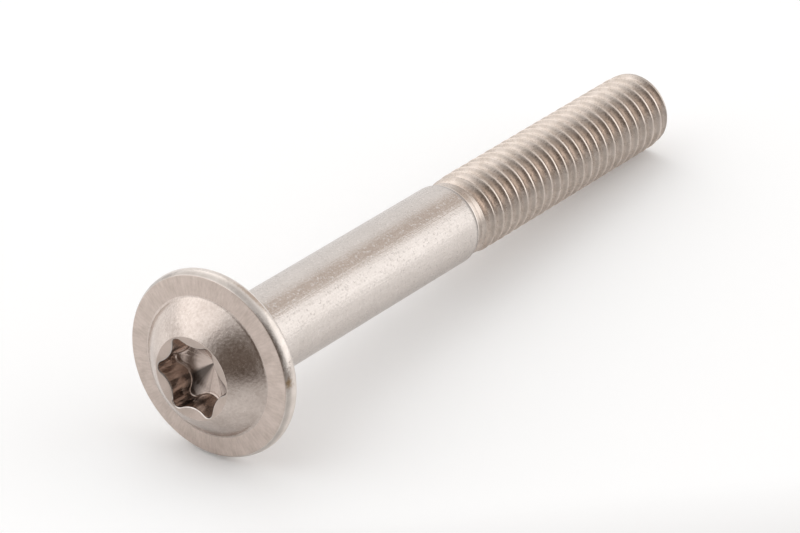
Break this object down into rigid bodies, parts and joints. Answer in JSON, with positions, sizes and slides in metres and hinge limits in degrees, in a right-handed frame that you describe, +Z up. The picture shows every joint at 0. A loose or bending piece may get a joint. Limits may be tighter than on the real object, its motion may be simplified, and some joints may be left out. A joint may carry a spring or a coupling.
{
  "type": "flanged button head screw",
  "caption": "Low domed screw head with a broad flange and a lobed driver socket, on a plain shank that ends in a right-hand metric thread; it clamps sheets and fittings.",
  "frame": {"origin": "middle of the bearing face under the flange, on the screw's own axis", "axes": "+Z up, with the screw lying as it comes to rest on its flange's rim and its last full turn of thread; its axis is in the XZ plane, runs from the head towards +X and dips by 4.3 degrees"},
  "size_m": [0.0528, 0.0132, 0.0132],
  "materials": {
    "stainless_steel": "satin"
  },
  "bodies": {
    "root": {"screw": "stainless_steel"}
  },
  "joints": []
}
